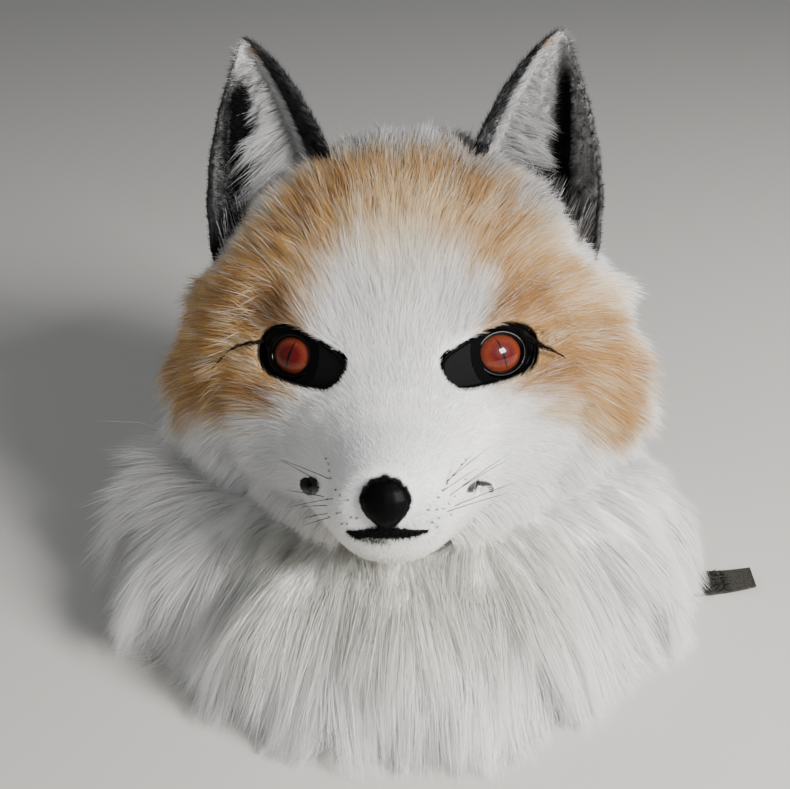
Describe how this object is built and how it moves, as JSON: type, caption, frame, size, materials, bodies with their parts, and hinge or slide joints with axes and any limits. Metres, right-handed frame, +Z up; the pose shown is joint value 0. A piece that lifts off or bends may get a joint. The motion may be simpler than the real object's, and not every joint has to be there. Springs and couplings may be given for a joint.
{
  "type": "fursuit head",
  "caption": "Hollow animal costume head with pointed ears, domed eyes, fur-pile skins over a moulded shell and a long-pile neck ruff.",
  "frame": {"origin": "centre of the neck opening, on the surface that the head stands on", "axes": "+Z up, -Y the way the face looks, +X the object's own left"},
  "size_m": [0.4272, 0.4167, 0.3323],
  "materials": {
    "shell": "matt moulded shell",
    "face_pile": "short white pile",
    "hood_pile": "long white and tan orange pile",
    "ear_pile": "short dark grey pile",
    "tuft_pile": "long white pile",
    "ruff_pile": "long white pile",
    "lid_black": "glossy black",
    "iris": "clear gloss over red and orange",
    "vision_mesh": "black open weave",
    "nose_black": "semi-gloss black",
    "tab_mesh": "dark grey mesh"
  },
  "bodies": {
    "root": {"head_base": "shell", "face_fur": "face_pile", "hood_fur": "hood_pile", "ear_left": "ear_pile", "ear_right": "ear_pile", "ear_tuft_left": "tuft_pile", "ear_tuft_right": "tuft_pile", "eye_rim_left": "lid_black", "eye_rim_right": "lid_black", "eye_dome_left": "iris", "eye_dome_right": "iris", "eye_mesh_left": "vision_mesh", "eye_mesh_right": "vision_mesh", "nose": "nose_black", "lip": "nose_black", "neck_ruff": "ruff_pile", "closure_tab": "tab_mesh"}
  },
  "joints": []
}
